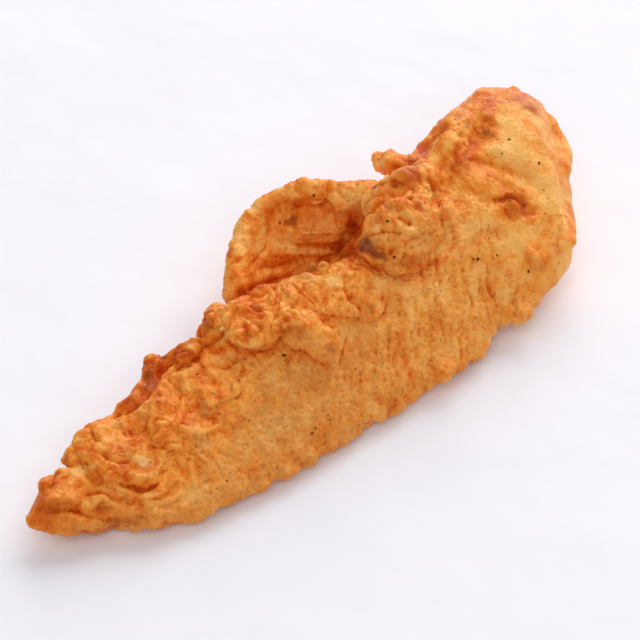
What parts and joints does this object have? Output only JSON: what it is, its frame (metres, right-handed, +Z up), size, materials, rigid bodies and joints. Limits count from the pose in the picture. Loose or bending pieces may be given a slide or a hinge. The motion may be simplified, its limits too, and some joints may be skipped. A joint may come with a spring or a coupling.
{
  "type": "chicken tender",
  "caption": "Fried chicken tender: a tapering strip in a craggy golden batter crust, with a curled flap behind its ridge and a blunt head, lying on its flat underside",
  "frame": {"origin": "middle of the length and width, on the surface that the tender lies on", "axes": "+X along the strip from the pointed tip to the broad head, +Y across it to the side of the curled flap, +Z up"},
  "size_m": [0.1506, 0.0532, 0.0295],
  "materials": {
    "fried_crust": "fried batter, half matt with a thin film of oil"
  },
  "bodies": {
    "root": {"tender": "fried_crust"}
  },
  "joints": []
}
